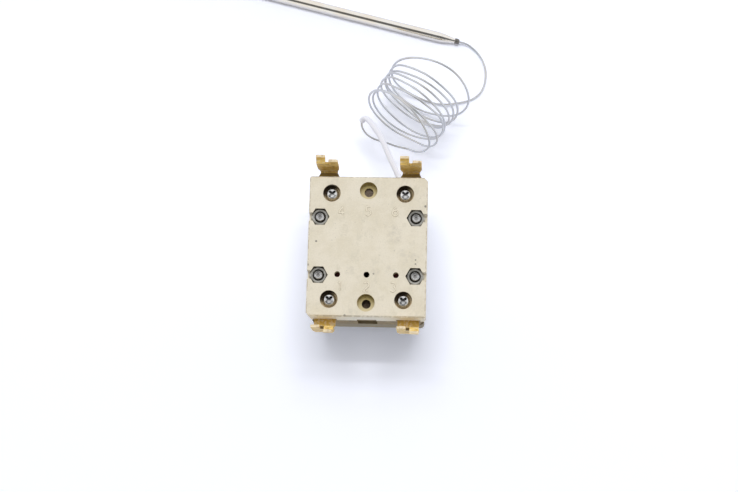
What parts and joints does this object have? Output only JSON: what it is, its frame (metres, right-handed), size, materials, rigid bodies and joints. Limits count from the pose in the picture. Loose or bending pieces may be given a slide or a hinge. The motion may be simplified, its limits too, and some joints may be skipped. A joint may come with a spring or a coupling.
{
  "type": "capillary_thermostat",
  "caption": "Griddle thermostat: ceramic snap switch body with forked rear terminals, D shaft in front, and a coiled capillary ending in a sensing bulb",
  "frame": {"origin": "centre of the panel screw pattern, on the shaft's axis, in the pan's face that meets the panel", "axes": "+Z points to the rear, from the panel towards the terminals. +Y points to the end where the capillary leaves. +X completes the right-handed set and runs along the line of the panel screws"},
  "size_m": [0.1384, 0.1697, 0.064],
  "materials": {
    "steatite_cream": "matt, fired, slightly soiled",
    "steatite_dark": "matt, fired, soiled",
    "zinc_sheet": "zinc plated, dull",
    "plated_steel": "nickel plated",
    "zinc_nut": "zinc plated, dull",
    "terminal_brass": "tarnished, stamped",
    "contact_silver": "silver",
    "red_lacquer": "lacquered",
    "spring_steel": "tempered",
    "stainless_steel": "drawn",
    "white_sleeve": "woven glass",
    "dull_steel": "dull, swaged tube"
  },
  "bodies": {
    "base": {"rear_cover": "steatite_cream", "switch_housing": "steatite_dark", "front_pan": "zinc_sheet", "clamp_studs": "plated_steel", "clamp_nuts": "zinc_nut", "terminal_screws": "plated_steel", "terminal_upper_left": "terminal_brass", "terminal_upper_right": "terminal_brass", "terminal_lower_left": "terminal_brass", "terminal_lower_right": "terminal_brass", "fixed_contact_left": "contact_silver", "fixed_contact_right": "contact_silver", "calibration_screws": "red_lacquer", "shaft_bush": "terminal_brass", "lever_pivot_pin": "plated_steel", "capillary_inner": "stainless_steel", "capillary_sleeve": "white_sleeve", "capillary_lead": "stainless_steel", "capillary_coil": "stainless_steel", "capillary_tail": "stainless_steel", "bulb_collar": "stainless_steel", "bulb": "dull_steel"},
    "shaft": {"adjusting_shaft": "plated_steel", "shaft_clip": "spring_steel", "stop_washer": "zinc_sheet"},
    "carrier": {"diaphragm_carrier": "zinc_sheet", "diaphragm": "stainless_steel"},
    "lever": {"rocker_lever": "zinc_sheet"},
    "pin_left": {"push_pin_left": "steatite_cream"},
    "pin_right": {"push_pin_right": "steatite_cream"},
    "blade_left": {"snap_blade_left": "spring_steel", "moving_contact_left": "contact_silver"},
    "blade_right": {"snap_blade_right": "spring_steel", "moving_contact_right": "contact_silver"}
  },
  "joints": [
    {"name": "shaft_turn", "type": "hinge", "parent": "base", "child": "shaft", "pos_m": [0, 0, 0], "axis": [0, 0, 1], "range_deg": [0, 270]},
    {"name": "carrier_slide", "type": "slide", "parent": "base", "child": "carrier", "axis": [0, 0, 1], "range_m": [-0.00075, 0]},
    {"name": "lever_tilt", "type": "hinge", "parent": "base", "child": "lever", "pos_m": [0, -0.017, 0.0085], "axis": [1, 0, 0], "range_deg": [0, 3]},
    {"name": "pin_left_slide", "type": "slide", "parent": "base", "child": "pin_left", "axis": [0, 0, 1], "range_m": [0, 0.001]},
    {"name": "pin_right_slide", "type": "slide", "parent": "base", "child": "pin_right", "axis": [0, 0, 1], "range_m": [0, 0.001]},
    {"name": "blade_left_tilt", "type": "hinge", "parent": "base", "child": "blade_left", "pos_m": [-0.0114, -0.0135, 0.02075], "axis": [1, 0, 0], "range_deg": [0, 3.7]},
    {"name": "blade_right_tilt", "type": "hinge", "parent": "base", "child": "blade_right", "pos_m": [0.0114, -0.0135, 0.02075], "axis": [1, 0, 0], "range_deg": [0, 3.7]}
  ],
  "couplings": [
    {"joint": "shaft_turn", "follows": "carrier_slide", "rad_per_m": -6283.1},
    {"joint": "pin_left_slide", "follows": "lever_tilt", "m_per_rad": 0.019},
    {"joint": "pin_right_slide", "follows": "lever_tilt", "m_per_rad": 0.019},
    {"joint": "blade_left_tilt", "follows": "lever_tilt", "ratio": 1.2258},
    {"joint": "blade_right_tilt", "follows": "lever_tilt", "ratio": 1.2258}
  ]
}
